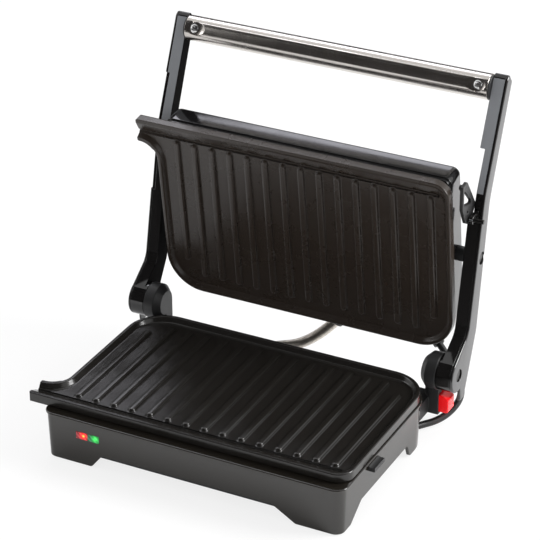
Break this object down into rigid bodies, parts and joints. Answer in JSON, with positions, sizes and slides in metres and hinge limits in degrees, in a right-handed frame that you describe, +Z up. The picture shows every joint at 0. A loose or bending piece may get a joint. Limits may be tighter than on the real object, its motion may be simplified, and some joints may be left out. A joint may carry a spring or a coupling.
{
  "type": "contact grill",
  "caption": "Compact open contact grill with ribbed, coated plates, drain spouts, a lid that floats between two hinged arms, a tube handle, a latch clip and a side release button.",
  "frame": {"origin": "on the table under the middle of the whole grill's box with the lid open", "axes": "+X to the grill's right, +Y to its back, +Z up"},
  "size_m": [0.2646, 0.2378, 0.2475],
  "materials": {
    "base_plastic": "moulded, dark warm grey, gloss",
    "arm_gloss": "moulded, black, gloss",
    "arm_satin": "moulded, dark grey, satin",
    "black_plastic": "moulded, black, matt",
    "plate_coating": "die cast, dark non-stick coating, satin",
    "painted_steel": "pressed sheet, black, satin",
    "steel": "satin",
    "tube_steel": "polished",
    "conduit_steel": "closely wound, bright",
    "sheet_aluminium": "mill finish",
    "heater_steel": "heat tinted",
    "dark_steel": "blackened, satin",
    "rubber": "matt",
    "cable_rubber": "satin",
    "red_button": "moulded, red, gloss",
    "red_lens": "clear tinted, lit from behind",
    "green_lens": "clear tinted, lit from behind",
    "board": "circuit board",
    "pale_plastic": "heat-proof moulding"
  },
  "bodies": {
    "base": {"base_housing": "base_plastic", "base_bottom_cover": "painted_steel", "foot_pads": "rubber", "bottom_screws": "steel", "lower_plate": "plate_coating", "lower_heater": "heater_steel", "lower_reflector": "sheet_aluminium", "lower_plate_screws": "steel", "thermostat": "pale_plastic", "terminal_block": "pale_plastic", "lamp_board": "board", "red_lens": "red_lens", "green_lens": "green_lens", "latch_catch": "black_plastic", "hinge_bracket_left": "black_plastic", "hinge_bracket_right": "black_plastic", "hinge_pin_left": "dark_steel", "hinge_pin_right": "dark_steel", "release_spring": "steel", "mains_gland": "rubber", "conduit_gland": "black_plastic", "cable_clamp": "black_plastic", "feed_conduit": "conduit_steel", "lid_cable": "cable_rubber"},
    "arms": {"arm_frame_left": "arm_satin", "arm_frame_right": "arm_satin", "arm_cover_left": "arm_gloss", "arm_cover_right": "arm_gloss", "handle_tube": "tube_steel", "handle_plug_left": "black_plastic", "handle_plug_right": "black_plastic", "handle_screws": "steel", "lid_pivot_pin_left": "dark_steel", "lid_pivot_pin_right": "dark_steel", "latch_pin": "dark_steel"},
    "lid": {"lid_housing": "base_plastic", "lid_carrier": "steel", "upper_plate": "plate_coating", "upper_heater": "heater_steel", "upper_reflector": "sheet_aluminium", "upper_plate_screws": "steel", "lid_pivot_bush_left": "black_plastic", "lid_pivot_bush_right": "black_plastic", "thermal_fuse": "pale_plastic", "lid_conduit_gland": "black_plastic", "lid_cable_gland": "black_plastic"},
    "latch": {"latch_clip": "black_plastic"},
    "button": {"release_button": "red_button"}
  },
  "joints": [
    {"name": "arms_hinge", "type": "hinge", "parent": "base", "child": "arms", "pos_m": [-0.002, 0.04055, 0.0464], "axis": [1, 0, 0], "range_deg": [0, 100.67], "deforming": ["feed_conduit", "lid_cable"]},
    {"name": "lid_tilt", "type": "hinge", "parent": "arms", "child": "lid", "pos_m": [-0.002, 0.07455, 0.1237], "axis": [1, 0, 0], "range_deg": [-18.1, 0]},
    {"name": "latch_swing", "type": "hinge", "parent": "arms", "child": "latch", "pos_m": [0.1195, 0.06605, 0.1565], "axis": [1, 0, 0], "range_deg": [0, 88]},
    {"name": "release_push", "type": "slide", "parent": "base", "child": "button", "axis": [-1, 0, 0], "range_m": [0, 0.004], "stiffness_N_per_m": 400, "deforming": ["release_spring"]}
  ],
  "couplings": [
    {"joint": "lid_tilt", "follows": "arms_hinge", "ratio": -0.1789}
  ]
}
